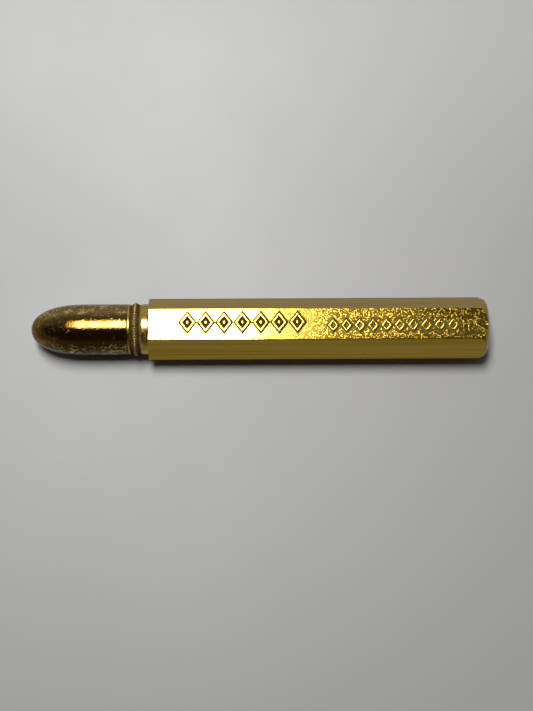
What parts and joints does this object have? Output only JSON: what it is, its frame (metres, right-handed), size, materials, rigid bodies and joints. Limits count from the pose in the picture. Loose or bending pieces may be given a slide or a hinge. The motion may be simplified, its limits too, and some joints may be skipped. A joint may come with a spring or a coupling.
{
  "type": "lead holder",
  "caption": "Pocket lead holder with a hexagonal embossed brass barrel, a beaded grip ring and a bullet-shaped nose that twists to feed the lead and pulls out with it.",
  "frame": {"origin": "under the middle of the whole length, on the plane that the barrel's lower flat rests on", "axes": "+X along the common axis from the bullet's tip to the barrel's closed end, +Z out of the embossed flat"},
  "size_m": [0.0716, 0.0098, 0.0086],
  "materials": {
    "barrel_brass": "bright drawn sheet with fine lengthwise lines",
    "nose_bronze": "dark brown patina worn to bright specks",
    "grip_brass": "worn satin, dark in the grooves",
    "feed_brass": "turned and drawn, satin",
    "feed_steel": "ground",
    "graphite": "dark grey with a faint sheen"
  },
  "bodies": {
    "barrel": {"barrel_tube": "barrel_brass", "end_plug": "barrel_brass"},
    "holder": {"front_collar": "grip_brass", "beaded_ring": "grip_brass", "neck_sleeve": "grip_brass", "neck_bush": "feed_brass", "tail_tube": "feed_brass", "nozzle": "feed_brass", "guide_tube": "feed_brass"},
    "nose": {"bullet_shell": "nose_bronze", "nose_plug": "feed_brass", "spiral_tube": "feed_brass", "retaining_ring": "feed_brass", "drag_washer": "feed_steel"},
    "feed": {"lead_carrier": "feed_brass", "carrier_pin": "feed_steel", "push_rod": "feed_steel", "lead_socket": "feed_brass", "lead": "graphite"}
  },
  "joints": [
    {"name": "holder_pull", "type": "slide", "parent": "barrel", "child": "holder", "axis": [-1, 0, 0], "range_m": [-0.0014, 0.052]},
    {"name": "nose_twist", "type": "hinge", "parent": "holder", "child": "nose", "pos_m": [-0.0283, 0, 0.00423], "axis": [1, 0, 0], "range_deg": [0, 720]},
    {"name": "lead_feed", "type": "slide", "parent": "holder", "child": "feed", "axis": [1, 0, 0], "range_m": [0, 0.012]}
  ],
  "couplings": [
    {"joint": "nose_twist", "follows": "lead_feed", "rad_per_m": 1047.2}
  ]
}
